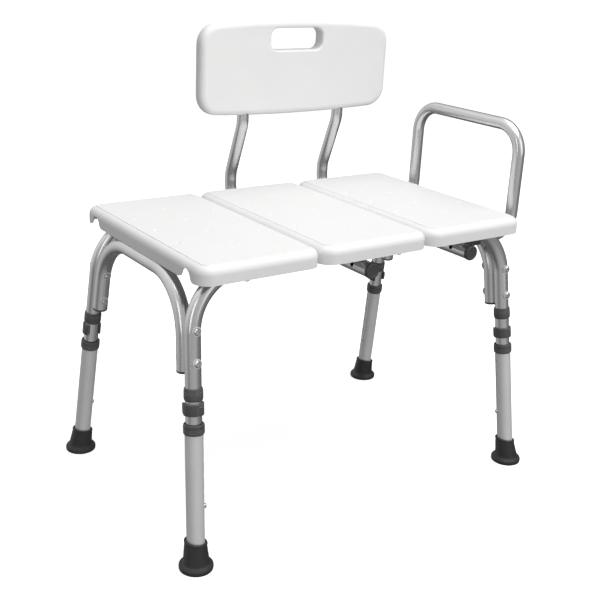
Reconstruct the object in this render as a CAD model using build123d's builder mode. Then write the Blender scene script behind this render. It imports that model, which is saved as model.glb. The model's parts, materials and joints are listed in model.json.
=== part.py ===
"""Bath transfer bench: a three-panel seat on two arched aluminium tubes, with telescoping legs,
a removable backrest and a removable armrest.

Frame: origin on the floor under the middle of the bench, +X towards the armrest,
-Y towards the front of the seat, +Z up. Millimetres.
"""

import os
from math import cos, radians, sin, sqrt

from build123d import *

# ---- Driving dimensions -------------------------------------------------------------------

# tubes
frame_r = 12.7  # 25.4 mm frame tube
frame_bore = 11.15
post_r = 11.1  # 22.2 mm backrest and armrest tube
post_bore = 9.8
leg_r = 14.3  # 28.6 mm leg extension tube
running_gap = 0.05  # radial clearance of tubes that telescope
body_gap = 0.3  # clearance between neighbours that move apart

# stance
foot_x = 341.0
foot_y = 222.0
lean_x = 0.049  # legs splay outwards towards the floor
lean_y = 0.142

# seat
panel_pitch = 220.0
panel_width = 218.0
panel_depth = 405.0
seat_top = 480.0
lip_bottom = 451.0
lip_wall = 3.0
top_wall = 4.0
panel_corner = 25.0
panel_edge = 13.0
plateau_rise = 1.0
plateau_inset = 12.0
mouth_r = 10.0  # rounding of the lower corners of a lip's notch
drain_r = 1.8
dimple_r = 3.6
dimple_depth = 1.2

# frame
arch_z = 455.0
arch_bend = 90.0
brace_z = 440.0
brace_bend = 95.0
stub_offset = 26.0  # brace end beside the leg, measured along Y
stub_bottom = 305.0
brace_bolt_heights = (379.0, 330.0)  # along the leg axis
bolt_r = 3.0
bolt_hole_r = 3.2

# cross tubes that hold the backrest
backrest_x = 102.0
post_spacing = 220.0
cross_z = 427.5
cross_end = 193.5
snap_from_end = 35.0
snap_lift = 10.0  # degrees that the snap holes look up from -X

# backrest
post_rise_y = 246.0
post_top_y = 208.0
post_bend = 50.0
post_kink_low = 497.0
post_kink_high = 597.0
post_top_z = 704.0
post_inner_end = 40.0
back_width = 424.0
back_bottom = 621.0
back_top = 778.0
back_crown = 9.0
back_thick = 28.0
back_sag = 12.0
back_corner = 38.0
back_edge = 11.0
back_wall = 3.0
grip_width = 117.0
grip_height = 40.0
grip_z = 751.0

# armrest
arm_x = 368.5
arm_y = 136.5
arm_run_z = 429.5
arm_top_z = 625.0
arm_inner_end = 231.0
arm_top_bend = 50.0
arm_low_bend = 40.0
socket_length = 34.0
socket_r = 13.6

# legs, measured along the leg axis from the floor
tube_foot_end = 14.0
extension_top = 232.5
inner_leg_end = 90.0
button_height = 101.0
hole_pitch = 25.4
hole_count = 5
collar_r = 16.6
lower_collar = (218.0, 233.0)
upper_collar_r = 15.0
upper_collar_length = 20.0
upper_collar_start = 271.0
raised_collar_start = 285.0
clip_length = 18.0
clip_start = 249.0
clip_r = 16.4
button_turn = 25.0  # degrees that the hole row is turned from facing along X

# feet
sole_r = 27.5
sole_thick = 11.0
neck_low_r = 20.5
neck_high_r = 18.0
neck_top = 45.0

# snap buttons
button_r = 3.9
button_fit = 0.07
button_proud = 3.0
strip_thick = 0.8
strip_half = 3.5

# screws
seat_screw_x = (-223.0, 80.0, 248.0)
screw_head_r = 5.5
nut_r = 5.0
nut_length = 4.4
bolt_tip = 3.0  # how far a bolt reaches past its inner washer

LEGS = {
    "front_left": (-1, -1),
    "front_right": (1, -1),
    "back_left": (-1, 1),
    "back_right": (1, 1),
}


# ---- Worked-out places ----------------------------------------------------------------------


def leg_axis(side, face):
    """Unit vector up the leg that stands on that side (-1 left, 1 right) and face (-1 front)."""
    return Vector(-side * lean_x, -face * lean_y, 1).normalized()


def leg_point(side, face, along):
    """Point on the leg's centre line, that far from the floor."""
    return Vector(side * foot_x, face * foot_y, 0) + leg_axis(side, face) * along


def leg_at_height(side, face, height, shift=0.0):
    """Point on the leg's centre line at a height, moved towards the middle of the bench by shift."""
    return Vector(
        side * (foot_x - lean_x * height), face * (foot_y - shift - lean_y * height), height
    )


def square_to(axis, towards):
    """The part of a direction that is square to an axis, as a unit vector."""
    return (towards - axis * towards.dot(axis)).normalized()


def leg_plane(side, face, along, towards=None):
    """Plane across the leg: its normal is up the leg, its x points at the row of holes."""
    axis = leg_axis(side, face)
    turn = radians(-button_turn if face < 0 else 0.0)
    inward = Vector(-side * cos(turn), -side * sin(turn), 0)
    return Plane(
        origin=leg_point(side, face, along),
        x_dir=square_to(axis, inward if towards is None else towards),
        z_dir=axis,
    )


def facing(plane, reach=0.0):
    """Plane that looks out along another plane's x, moved out by reach; its x runs along the old normal."""
    return Plane(
        origin=plane.origin + plane.x_dir * reach, x_dir=plane.z_dir, z_dir=plane.x_dir
    )


arch_y = foot_y - lean_y * arch_z
cross_xs = (backrest_x - post_spacing / 2, backrest_x + post_spacing / 2)
snap_y = cross_end - snap_from_end
panel_centres = {"left": -panel_pitch, "middle": 0.0, "right": panel_pitch}
snap_way = Vector(-cos(radians(snap_lift)), 0, sin(radians(snap_lift)))
socket_screw_x = arm_inner_end + socket_length / 2


def hollow_tube(line, outer, inner):
    """Sweep a round tube along a line, in the part being built."""
    with BuildSketch(Plane(origin=line @ 0, z_dir=line % 0)) as section:
        Circle(outer)
        Circle(inner, mode=Mode.SUBTRACT)
    sweep(section.sketch, path=line)


def round_cut(plane, radius, depth, both=False):
    """Cut a round hole along a plane's normal, in the part being built."""
    with BuildSketch(plane) as mouth:
        Circle(radius)
    extrude(mouth.sketch, amount=depth, both=both, mode=Mode.SUBTRACT)


def turned(plane, *profile):
    """Revolve an outline, given as (radius, height) corners, about a plane's normal."""
    side_on = Plane(origin=plane.origin, x_dir=plane.x_dir, z_dir=-plane.y_dir)
    with BuildSketch(side_on) as half:
        with BuildLine():
            Polyline(*profile, close=True)
        make_face()
    revolve(half.sketch, axis=Axis(plane.origin, plane.z_dir))


def finish(shape, name):
    """Label a finished piece and write it to its own file."""
    shape.label = name
    export_step(shape, f"parts/{name}.step")


os.makedirs("parts", exist_ok=True)


# ---- Seat panels ----------------------------------------------------------------------------

drain_holes = [(0, s * y) for s in (-1, 1) for y in (37, 110)]
drain_holes += [(s * 75, y) for s in (-1, 1) for y in (-73, 0, 73)]


notch_r = frame_r + 2 * body_gap
mouth_rise = lip_bottom + mouth_r - arch_z
mouth_reach = sqrt((notch_r + mouth_r) ** 2 - mouth_rise**2)
mouth_top = arch_z + mouth_rise * notch_r / (notch_r + mouth_r)


def tray_hollow(centre_x, screw_x):
    """The hollow under a seat panel, with its ribs and screw bosses left standing."""
    ceiling = seat_top - plateau_rise - top_wall
    with BuildPart() as hollow:
        with BuildSketch(Plane.XY.offset(lip_bottom)):
            with Locations((centre_x, 0)):
                RectangleRounded(
                    panel_width - 2 * lip_wall, panel_depth - 2 * lip_wall, panel_corner - lip_wall
                )
        extrude(amount=ceiling - lip_bottom)
        fillet(hollow.faces().sort_by(Axis.Z)[-1].edges(), radius=panel_edge - lip_wall)
        with BuildSketch(Plane.XY.offset(lip_bottom + 7)):
            with Locations((centre_x - 55, 0), (centre_x + 55, 0)):
                Rectangle(3, panel_depth)
            with GridLocations(0, 80, 1, 3):
                with Locations((centre_x, 0)):
                    Rectangle(panel_width, 3)
        extrude(amount=ceiling - lip_bottom, mode=Mode.SUBTRACT)
        with BuildSketch(Plane.XY.offset(lip_bottom + 9)):
            with Locations((screw_x, arch_y), (screw_x, -arch_y)):
                Circle(8)
        extrude(amount=ceiling - lip_bottom, mode=Mode.SUBTRACT)
    return hollow.part


def cut_notches(centre_x):
    """Cut round-topped, wide-mouthed notches for the frame tubes through the part being built."""
    for face in (-1, 1):
        with BuildSketch(Plane.YZ.offset(centre_x)) as notch:
            with Locations((face * arch_y, arch_z)):
                Circle(notch_r)
            with Locations((face * arch_y, mouth_top)):
                Rectangle(2 * mouth_reach, mouth_top - lip_bottom + 5, align=(Align.CENTER, Align.MAX))
            with Locations(*[(face * arch_y + hand * mouth_reach, lip_bottom + mouth_r)
                             for hand in (-1, 1)]):
                Circle(mouth_r, mode=Mode.SUBTRACT)
        extrude(notch.sketch, amount=panel_width, both=True, mode=Mode.SUBTRACT)


def seat_panel(centre_x, screw_x):
    """An open moulded tray, with saddles over both frame tubes, ribs, screw bosses and drain holes."""
    with BuildPart() as panel:
        with BuildSketch(Plane.XY.offset(lip_bottom)):
            with Locations((centre_x, 0)):
                RectangleRounded(panel_width, panel_depth, panel_corner)
        extrude(amount=seat_top - plateau_rise - lip_bottom)
        fillet(panel.faces().sort_by(Axis.Z)[-1].edges(), radius=panel_edge)
        with BuildSketch(Plane.XY.offset(seat_top - 2 * plateau_rise)):
            with Locations((centre_x, 0)):
                RectangleRounded(
                    panel_width - 2 * plateau_inset, panel_depth - 2 * plateau_inset, panel_corner / 2
                )
        extrude(amount=2 * plateau_rise)
        fillet(panel.faces().sort_by(Axis.Z)[-1].edges(), radius=plateau_rise * 0.8)
        add(tray_hollow(centre_x, screw_x), mode=Mode.SUBTRACT)
        cut_notches(centre_x)
        with Locations(*[Location((screw_x, s * arch_y, arch_z + frame_r)) for s in (-1, 1)]):
            Cylinder(bolt_r + running_gap, 7, align=(Align.CENTER, Align.CENTER, Align.MIN),
                     mode=Mode.SUBTRACT)
        # drain holes, each in its own dimple
        with Locations(*[Location((centre_x + x, y, seat_top)) for x, y in drain_holes]):
            Cylinder(drain_r, 4 * top_wall, mode=Mode.SUBTRACT)
            Cone(drain_r, dimple_r, dimple_depth, align=(Align.CENTER, Align.CENTER, Align.MAX),
                 mode=Mode.SUBTRACT)
    return panel.part


for (side_name, centre), screw in zip(panel_centres.items(), seat_screw_x):
    finish(seat_panel(centre, screw), f"seat_panel_{side_name}")


# ---- Frame tubes ----------------------------------------------------------------------------


def arch_route(face):
    """Centre line of a frame arch: up one leg, along under the seat, down the other."""
    foot_ends = [leg_point(side, face, inner_leg_end) for side in (-1, 1)]
    corners = [leg_at_height(side, face, arch_z) for side in (-1, 1)]
    with BuildLine() as route:
        FilletPolyline(foot_ends[0], corners[0], corners[1], foot_ends[1], radius=arch_bend)
    return route.line


def brace_route(side):
    """Centre line of an end brace: a shallow U whose ends lie beside the legs."""
    ends = [leg_at_height(side, face, stub_bottom, stub_offset) for face in (-1, 1)]
    corners = [leg_at_height(side, face, brace_z, stub_offset) for face in (-1, 1)]
    with BuildLine() as route:
        FilletPolyline(ends[0], corners[0], corners[1], ends[1], radius=brace_bend)
    return route.line


def leave_room(line):
    """Cut the space of a frame tube, with a running gap, out of the part being built."""
    with BuildSketch(Plane(origin=line @ 0, z_dir=line % 0)) as section:
        Circle(frame_r + running_gap)
    sweep(section.sketch, path=line, mode=Mode.SUBTRACT)


def frame_arch(face):
    """One tube bent into an arch, drilled for its braces, snap buttons and seat screws."""
    with BuildPart() as arch:
        hollow_tube(arch_route(face), frame_r, frame_bore)
        for side in (-1, 1):
            for along in brace_bolt_heights:
                round_cut(brace_bolt_plane(side, face, along), bolt_hole_r, 2 * frame_r, both=True)
            button_side = facing(leg_plane(side, face, button_height))
            round_cut(button_side, button_r + button_fit, 2 * frame_r)
        for x in (*seat_screw_x, *cross_xs):
            place = Vector(x, face * arch_y, arch_z)
            round_cut(Plane(origin=place, z_dir=(0, 0, 1)), bolt_hole_r, 2 * frame_r, both=True)
    return arch.part


def brace_bolt_plane(side, face, along):
    """Plane at a bolt through leg and brace: its normal points out of the bench, square to the leg."""
    axis = leg_axis(side, face)
    outward = square_to(axis, Vector(0, face, 0))
    return Plane(origin=leg_point(side, face, along), x_dir=axis, z_dir=outward)


def end_brace(side):
    """One tube bent into a shallow U across the end of the bench, drilled for its bolts."""
    with BuildPart() as brace:
        hollow_tube(brace_route(side), frame_r, frame_bore)
        for face in (-1, 1):
            for along in brace_bolt_heights:
                plane = brace_bolt_plane(side, face, along)
                round_cut(plane, bolt_hole_r, -4 * frame_r)
    return brace.part


def cross_tube(x):
    """A straight tube under both arches that takes one backrest post, with a snap hole at each end."""
    with BuildPart() as tube:
        with BuildLine() as route:
            Line((x, -cross_end, cross_z), (x, cross_end, cross_z))
        hollow_tube(route.line, frame_r, frame_bore)
        for y in (-snap_y, snap_y):
            place = Vector(x, y, cross_z)
            round_cut(Plane(origin=place, z_dir=snap_way), button_r + button_fit, 2 * frame_r)
        for y in (-arch_y, arch_y):
            place = Vector(x, y, cross_z)
            round_cut(Plane(origin=place, z_dir=(0, 0, 1)), bolt_r + running_gap, 2 * frame_r)
    return tube.part


finish(frame_arch(-1), "front_frame_arch")
finish(frame_arch(1), "rear_frame_arch")
finish(end_brace(-1), "left_end_brace")
finish(end_brace(1), "right_end_brace")
finish(cross_tube(cross_xs[0]), "cross_tube_left")
finish(cross_tube(cross_xs[1]), "cross_tube_right")


# ---- Frame fittings -------------------------------------------------------------------------

with BuildPart() as cross_tube_plugs:
    for x in cross_xs:
        front = Plane(origin=(x, -cross_end, cross_z), x_dir=(1, 0, 0), z_dir=(0, -1, 0))
        turned(front, (0, -14), (frame_bore - running_gap, -14), (frame_bore - running_gap, 0),
               (13.6, 0), (13.6, 4.5), (12.4, 6), (0, 6))
finish(cross_tube_plugs.part, "cross_tube_plugs")

with BuildPart() as brace_end_plugs:
    for side in (-1, 1):
        for face in (-1, 1):
            end = leg_at_height(side, face, stub_bottom, stub_offset)
            down = Plane(origin=end, x_dir=(1, 0, 0), z_dir=-leg_axis(side, face))
            turned(down, (0, -10), (frame_bore - running_gap, -10), (frame_bore - running_gap, 0),
                   (13.0, 0), (13.0, 2.5), (11.8, 4), (0, 4))
finish(brace_end_plugs.part, "brace_end_plugs")


def bolted_joints():
    """Every place where a bolt holds a brace to a leg."""
    for side in (-1, 1):
        for face in (-1, 1):
            for along in brace_bolt_heights:
                yield brace_bolt_plane(side, face, along), side, face


def stub_gap(plane, side, face):
    """How far the brace's centre line lies behind the leg's, along the bolt."""
    straight = (stub_offset * plane.z_dir.dot(Vector(0, face, 0)))
    bend_start = leg_at_height(side, face, brace_z, stub_offset) - leg_axis(side, face) * bend_run
    past = (plane.origin - bend_start).dot(leg_axis(side, face))
    drift = brace_bend - sqrt(brace_bend**2 - past**2) if past > 0 else 0.0
    return straight + drift


def bend_setback(side, radius):
    """Length of straight tube that a bend of that radius takes up beside the leg's corner."""
    axis = leg_axis(side, -1)
    half_turn = radians(Vector(0, 1, 0).get_angle(axis)) / 2
    return radius * sin(half_turn) / cos(half_turn)


bend_run = bend_setback(1, brace_bend)

with BuildPart() as brace_bolts:
    for plane, side, face in bolted_joints():
        reach = stub_gap(plane, side, face) + frame_r + 1.5 + bolt_tip
        turned(plane, (0, -reach), (bolt_r, -reach), (bolt_r, frame_r + 1.6), (screw_head_r, frame_r + 1.6),
               (screw_head_r, frame_r + 3.6), (4.2, frame_r + 5.2), (2.2, frame_r + 5.2),
               (2.2, frame_r + 3.2), (0, frame_r + 3.2))
finish(brace_bolts.part, "brace_bolts")

with BuildPart() as brace_washers:
    for plane, side, face in bolted_joints():
        with BuildSketch(plane) as ring:
            Circle(7.6)
            Circle(bolt_hole_r, mode=Mode.SUBTRACT)
        extrude(ring.sketch, amount=frame_r + 1.5)
        inner = Plane(origin=plane.origin - plane.z_dir * stub_gap(plane, side, face),
                      x_dir=plane.x_dir, z_dir=-plane.z_dir)
        with BuildSketch(inner) as ring:
            Circle(7.6)
            Circle(bolt_hole_r, mode=Mode.SUBTRACT)
        extrude(ring.sketch, amount=frame_r + 1.5)
    for end in (-1, 1):
        leave_room(arch_route(end))
        leave_room(brace_route(end))
finish(brace_washers.part, "brace_saddle_washers")

with BuildPart() as brace_nuts:
    for plane, side, face in bolted_joints():
        back = stub_gap(plane, side, face) + frame_r + 1.6
        seat_side = Plane(origin=plane.origin - plane.z_dir * back, x_dir=plane.x_dir,
                          z_dir=-plane.z_dir)
        turned(seat_side, (bolt_r + running_gap, 0), (nut_r, 0), (nut_r, nut_length - 1),
               (nut_r - 1, nut_length), (bolt_r + running_gap, nut_length))
finish(brace_nuts.part, "brace_nuts")

with BuildPart() as cross_tube_saddles:
    for x in cross_xs:
        for y in (-arch_y, arch_y):
            with BuildSketch(Plane.XY.offset(cross_z)) as pad:
                with Locations((x, y)):
                    RectangleRounded(18, 22, 3)
                    Circle(bolt_hole_r, mode=Mode.SUBTRACT)
            extrude(pad.sketch, amount=arch_z - cross_z)
            round_cut(Plane(origin=(x, y, cross_z), z_dir=(0, 1, 0)), frame_r + running_gap, 15, both=True)
            round_cut(Plane(origin=(x, y, arch_z), z_dir=(1, 0, 0)), frame_r + running_gap, 15, both=True)
finish(cross_tube_saddles.part, "cross_tube_saddles")

with BuildPart() as cross_tube_screws:
    for x in cross_xs:
        for y in (-arch_y, arch_y):
            up = Plane(origin=(x, y, arch_z), x_dir=(1, 0, 0), z_dir=(0, 0, 1))
            tip = cross_z + post_r + 0.6 - arch_z
            turned(up, (0, tip), (bolt_r, tip), (bolt_r, frame_r + 0.1), (screw_head_r, frame_r + 0.1),
                   (screw_head_r, frame_r + 2.4), (4.0, frame_r + 3.6), (0, frame_r + 3.6))
finish(cross_tube_screws.part, "cross_tube_screws")

with BuildPart() as armrest_sockets:
    for face in (-1, 1):
        with BuildSketch(Plane.YZ.offset(arm_inner_end - 2)) as body:
            with Locations((face * arm_y, arm_run_z)):
                Circle(socket_r)
            with Locations((face * (arch_y - 3), arm_run_z + 9)):
                Rectangle(24, 22)
            with Locations((face * arm_y, arm_run_z)):
                Circle(post_r + running_gap, mode=Mode.SUBTRACT)
        extrude(body.sketch, amount=socket_length + 2)
        leave_room(arch_route(face))
        place = Vector(socket_screw_x, face * arch_y, arm_run_z)
        round_cut(Plane(origin=place, z_dir=(0, 0, 1)), bolt_hole_r, 40, both=True)
        button_place = Vector(socket_screw_x, face * arm_y, arm_run_z)
        round_cut(Plane(origin=button_place, z_dir=(0, 0, -1)), button_r + button_fit, 2 * socket_r)
finish(armrest_sockets.part, "armrest_sockets")


# ---- Seat fasteners -------------------------------------------------------------------------

seat_screw_tip = seat_top - top_wall - 3
tube_under = arch_z - frame_r
with BuildPart() as seat_screws:
    for x in seat_screw_x:
        for y in (-arch_y, arch_y):
            seat_z = arm_run_z - 2.1 if x == socket_screw_x else tube_under - 2.6
            up = Plane(origin=(x, y, seat_z), x_dir=(1, 0, 0), z_dir=(0, 0, 1))
            turned(up, (0, -7), (4.2, -7), (screw_head_r, -5.5), (screw_head_r, 0), (bolt_r, 0),
                   (bolt_r, seat_screw_tip - seat_z), (0, seat_screw_tip - seat_z))
finish(seat_screws.part, "seat_screws")

with BuildPart() as seat_saddle_washers:
    for x in seat_screw_x[:2]:
        for y in (-arch_y, arch_y):
            with BuildSketch(Plane.XY.offset(tube_under - 2.5)) as ring:
                with Locations((x, y)):
                    Circle(8)
                    Circle(bolt_hole_r, mode=Mode.SUBTRACT)
            extrude(ring.sketch, amount=6)
            round_cut(Plane(origin=(x, y, arch_z), z_dir=(1, 0, 0)), frame_r + running_gap, 12, both=True)
finish(seat_saddle_washers.part, "seat_saddle_washers")


# ---- Snap buttons ---------------------------------------------------------------------------


def snap_button(look):
    """A domed button; the plane's origin is on the tube's centre line and its normal points out."""
    with BuildPart() as button:
        skirt = look.near + strip_thick / 2 + 0.1
        turned(look.plane, (0, skirt), (button_r, skirt), (button_r, look.outer + button_proud - 1.4),
               (button_r - 1.3, look.outer + button_proud), (0, look.outer + button_proud))
    return button.part


def spring_clip(look):
    """A strip of spring steel bent into a V inside the tube: one arm carries the button."""
    with BuildPart() as clip:
        strip = Plane(origin=look.plane.origin, x_dir=look.along, z_dir=look.across)
        out = 1 if strip.y_dir.dot(look.plane.z_dir) > 0 else -1
        near = look.near
        with BuildSketch(strip) as outline:
            with BuildLine():
                FilletPolyline(
                    (-6, out * near), (10, out * near), (34, 0), (6, -out * look.wall),
                    (-6, -out * look.wall), radius=2.0,
                )
                offset(amount=strip_thick / 2)
            make_face()
        extrude(outline.sketch, amount=strip_half, both=True)
    return clip.part


class ButtonLook:
    """Where a snap button sits: outward plane, direction along the tube, and the tube's radii."""

    def __init__(self, plane, along, outer, bore):
        self.plane = plane
        self.along = along
        self.across = plane.z_dir.cross(along)
        self.outer = outer
        self.near = sqrt(bore**2 - strip_half**2) - strip_thick
        self.wall = bore - 2.2


def leg_button_look(side, face):
    """The snap button near the lower end of a frame leg."""
    across = leg_plane(side, face, button_height)
    outward = Plane(origin=across.origin, x_dir=across.z_dir, z_dir=across.x_dir)
    return ButtonLook(outward, leg_axis(side, face), leg_r, frame_bore)


def post_button_look(x):
    """The snap button of a backrest post, inside its cross tube."""
    place = Vector(x, snap_y, cross_z)
    outward = Plane(origin=place, x_dir=(0, 1, 0), z_dir=snap_way)
    return ButtonLook(outward, Vector(0, 1, 0), frame_r, post_bore)


def arm_button_look(face):
    """The snap button of an armrest end, inside its socket."""
    place = Vector(socket_screw_x, face * arm_y, arm_run_z)
    outward = Plane(origin=place, x_dir=(1, 0, 0), z_dir=(0, 0, -1))
    return ButtonLook(outward, Vector(1, 0, 0), socket_r, post_bore)


# ---- Legs -----------------------------------------------------------------------------------


def leg_extension(side, face):
    """The lower leg tube, with its row of height holes."""
    with BuildPart() as tube:
        base = leg_plane(side, face, tube_foot_end)
        with BuildSketch(base) as section:
            Circle(leg_r)
            Circle(frame_r + running_gap, mode=Mode.SUBTRACT)
        extrude(section.sketch, amount=extension_top - tube_foot_end)
        for step in range(hole_count):
            look = facing(leg_plane(side, face, button_height + step * hole_pitch))
            round_cut(look, button_r + body_gap, 2 * leg_r)
    return tube.part


def rubber_foot(side, face):
    """A rubber tip: a level sole flange with a neck that leans with the leg."""
    with BuildPart() as foot:
        ground = Plane(origin=(side * foot_x, face * foot_y, 0), x_dir=(1, 0, 0), z_dir=(0, 0, 1))
        turned(ground, (0, 0), (sole_r - 1.5, 0), (sole_r, 1.5), (sole_r, sole_thick - 4),
               (sole_r - 2.5, sole_thick - 1), (neck_low_r, sole_thick), (0, sole_thick))
        neck = leg_plane(side, face, 0)
        turned(neck, (0, 5), (neck_low_r, 5), (neck_low_r, 16), (neck_high_r, neck_top - 2),
               (neck_high_r - 1.2, neck_top), (0, neck_top))
        round_cut(leg_plane(side, face, tube_foot_end - 0.05), leg_r + running_gap, neck_top)
        for ring in (9, 16, 23):
            with BuildSketch(ground) as groove:
                Circle(ring + 1.2)
                Circle(ring - 1.2, mode=Mode.SUBTRACT)
            extrude(groove.sketch, amount=1.5, mode=Mode.SUBTRACT)
    return foot.part


def lower_ring(side, face):
    """The plastic ring on top of the lower leg tube; its lip guides the frame leg."""
    low, high = lower_collar
    with BuildPart() as ring:
        turned(leg_plane(side, face, 0), (leg_r + running_gap, low), (collar_r - 1, low),
               (collar_r, low + 1), (collar_r, high - 1), (collar_r - 1, high + 2),
               (frame_r + 0.1, high + 2), (frame_r + 0.1, extension_top + 0.1),
               (leg_r + running_gap, extension_top + 0.1))
    return ring.part


def leg_clip(side, face):
    """An open C of plastic that snaps round the leg, with flared lips and a thumb tab."""
    with BuildPart() as clip:
        opening = Vector(0, -face, 0)
        base = leg_plane(side, face, clip_start, towards=opening)
        with BuildSketch(base) as ring:
            Circle(clip_r)
            Circle(frame_r + 0.1, mode=Mode.SUBTRACT)
            with Locations((clip_r, 0)):
                Rectangle(1.4 * clip_r, 1.35 * clip_r, mode=Mode.SUBTRACT)
            for hand in (-1, 1):
                with Locations(Location((7.2, hand * 14.6, 0), 50.0 * hand)):
                    RectangleRounded(6.5, 3.4, 1.2)
        extrude(ring.sketch, amount=clip_length)
    return clip.part


upper_collar_starts = {
    name: raised_collar_start if name == "front_right" else upper_collar_start for name in LEGS
}

with BuildPart() as upper_collars:
    for name, (side, face) in LEGS.items():
        low = upper_collar_starts[name]
        high = low + upper_collar_length
        turned(leg_plane(side, face, 0), (frame_r + 0.1, low), (upper_collar_r - 0.8, low),
               (upper_collar_r, low + 0.8), (upper_collar_r, high - 0.8),
               (upper_collar_r - 0.8, high), (frame_r + 0.1, high))
finish(upper_collars.part, "upper_collars")

for name, (side, face) in LEGS.items():
    finish(leg_extension(side, face), f"leg_extension_{name}")
    finish(rubber_foot(side, face), f"rubber_foot_{name}")
    finish(lower_ring(side, face), f"lower_collar_{name}")
    finish(leg_clip(side, face), f"leg_clip_{name}")
    finish(snap_button(leg_button_look(side, face)), f"leg_button_{name}")
    finish(spring_clip(leg_button_look(side, face)), f"leg_spring_{name}")


# ---- Backrest -------------------------------------------------------------------------------


def backrest_post(x):
    """One bent tube: level in the cross tube, up behind the seat, forward, then up into the panel."""
    with BuildPart() as post:
        with BuildLine() as route:
            FilletPolyline(
                (x, post_inner_end, cross_z), (x, post_rise_y, cross_z),
                (x, post_rise_y, post_kink_low), (x, post_top_y, post_kink_high),
                (x, post_top_y, post_top_z), radius=post_bend,
            )
        hollow_tube(route.line, post_r, post_bore)
        place = Vector(x, snap_y, cross_z)
        round_cut(Plane(origin=place, z_dir=snap_way), button_r + button_fit, 2 * post_r)
        for z in back_screw_z:
            round_cut(Plane(origin=(x, post_top_y, z), z_dir=(0, 1, 0)), bolt_hole_r, 2 * post_r)
    return post.part


back_screw_z = (650.0, 688.0)
back_mid = (back_bottom + back_top) / 2
back_half = (back_top - back_bottom) / 2
back_swing = (back_width**2 / 4 + back_sag**2) / (2 * back_sag)
crown_swing = (back_width**2 / 4 + back_crown**2) / (2 * back_crown)
post_sag = back_swing - sqrt(back_swing**2 - (post_spacing / 2) ** 2)
back_centre_y = post_top_y + post_sag


def curved_slab(inset):
    """The backrest's solid form, or its cavity when inset: crowned top and bottom, bent in plan."""
    with BuildPart() as slab:
        front = Plane(origin=(backrest_x, 0, back_mid), x_dir=(1, 0, 0), z_dir=(0, -1, 0))
        with BuildSketch(front) as outline:
            half = back_width / 2 - inset
            rise = back_half - inset
            with BuildLine():
                top = ThreePointArc((-half, rise), (0, rise + back_crown), (half, rise))
                Line(top @ 1, (half, -rise))
                bottom = ThreePointArc((half, -rise), (0, -rise - back_crown), (-half, -rise))
                Line(bottom @ 1, (-half, rise))
            make_face()
            fillet(outline.vertices(), radius=back_corner - inset)
        extrude(outline.sketch, amount=-(post_top_y + 80))
        with BuildSketch(Plane.XY.offset(back_bottom - 40)) as layer:
            with Locations((backrest_x, back_centre_y - back_swing)):
                Circle(back_swing + back_thick / 2 - inset)
                Circle(back_swing - back_thick / 2 + inset, mode=Mode.SUBTRACT)
        extrude(layer.sketch, amount=back_top - back_bottom + 80, mode=Mode.INTERSECT)
        broad = slab.faces().sort_by(SortBy.AREA)[-2:]
        fillet(broad[0].edges() + broad[1].edges(), radius=back_edge - inset)
    return slab.part


def cut_grip(margin):
    """Cut the hand hole, or the hole and the wall round it, out of the part being built."""
    with BuildSketch(Plane(origin=(backrest_x, 0, grip_z), x_dir=(1, 0, 0), z_dir=(0, -1, 0))) as hole:
        RectangleRounded(grip_width + 2 * margin, grip_height + 2 * margin, 15 + margin)
    extrude(hole.sketch, amount=-(post_top_y + 80), mode=Mode.SUBTRACT)


with BuildPart() as back_cavity:
    add(curved_slab(back_wall))
    cut_grip(back_wall)
    with BuildSketch(Plane.XY.offset(back_bottom - 40)) as sleeves:
        with Locations(*[(x, post_top_y) for x in cross_xs]):
            Circle(post_r + back_wall)
    extrude(sleeves.sketch, amount=post_top_z + back_wall - back_bottom + 40, mode=Mode.SUBTRACT)

with BuildPart() as backrest_panel:
    add(curved_slab(0))
    outside = backrest_panel.edges()
    cut_grip(0)
    rims = (backrest_panel.edges() - outside).filter_by_position(
        Axis.Z, grip_z - grip_height, grip_z + grip_height
    )
    fillet(rims.filter_by(lambda e: e.length > 5 and abs(e.tangent_at(0.5).Y) < 0.5), radius=4)
    add(back_cavity.part, mode=Mode.SUBTRACT)
    for x in cross_xs:
        bottom = Plane(origin=(x, post_top_y, back_bottom - 40), z_dir=(0, 0, 1))
        round_cut(bottom, post_r + running_gap, post_top_z + 1 - back_bottom + 40)
        for z in back_screw_z:
            round_cut(Plane(origin=(x, post_top_y, z), z_dir=(0, 1, 0)), bolt_r, back_thick)
finish(backrest_panel.part, "backrest_panel")
finish(backrest_post(cross_xs[0]), "backrest_post_left")
finish(backrest_post(cross_xs[1]), "backrest_post_right")

with BuildPart() as backrest_screws:
    for x in cross_xs:
        for z in back_screw_z:
            behind = Plane(origin=(x, post_top_y, z), x_dir=(1, 0, 0), z_dir=(0, 1, 0))
            turned(behind, (0, -post_bore + 1.5), (bolt_r - 0.5, -post_bore + 1.5),
                   (bolt_r - 0.5, back_thick / 2 + 1), (5, back_thick / 2 + 1),
                   (5, back_thick / 2 + 2), (3.4, back_thick / 2 + 3), (0, back_thick / 2 + 3))
finish(backrest_screws.part, "backrest_screws")

finish(snap_button(post_button_look(cross_xs[0])), "backrest_button_left")
finish(snap_button(post_button_look(cross_xs[1])), "backrest_button_right")
finish(spring_clip(post_button_look(cross_xs[0])), "backrest_spring_left")
finish(spring_clip(post_button_look(cross_xs[1])), "backrest_spring_right")


# ---- Armrest --------------------------------------------------------------------------------

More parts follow.
